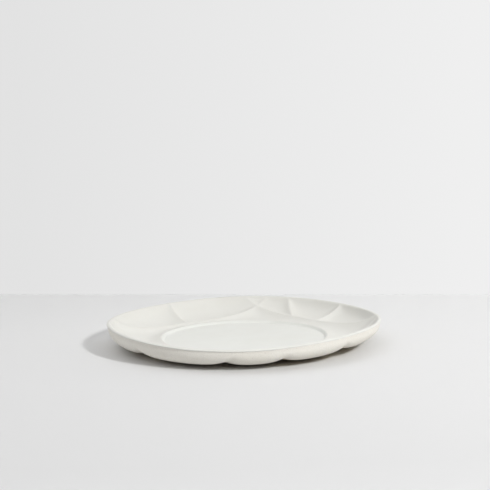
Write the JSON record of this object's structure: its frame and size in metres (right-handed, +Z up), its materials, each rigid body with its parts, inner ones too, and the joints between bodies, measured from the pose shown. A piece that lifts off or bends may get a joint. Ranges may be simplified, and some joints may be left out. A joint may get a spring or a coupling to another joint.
{
  "type": "lobed dinner plate",
  "caption": "Round stoneware plate with a recessed flat well and a wide glazed rim scooped into petals between straight raised ridges, standing on a low foot ring.",
  "frame": {"origin": "centre of the plate on the plane that the foot ring stands on", "axes": "+Z up out of the dish, -Y towards the front of the pictured view, +X to its right"},
  "size_m": [0.27, 0.27, 0.0255],
  "materials": {
    "bare_clay": "bare matte stoneware with a fine tooth",
    "foot_clay": "bare stoneware, rubbed smooth where it stands",
    "satin_glaze": "satin warm white glaze",
    "well_glaze": "smooth, slightly cooler white glaze"
  },
  "bodies": {
    "root": {"stoneware_body": "bare_clay", "foot_ring": "foot_clay", "rim_glaze": "satin_glaze", "well_glaze": "well_glaze"}
  },
  "joints": []
}
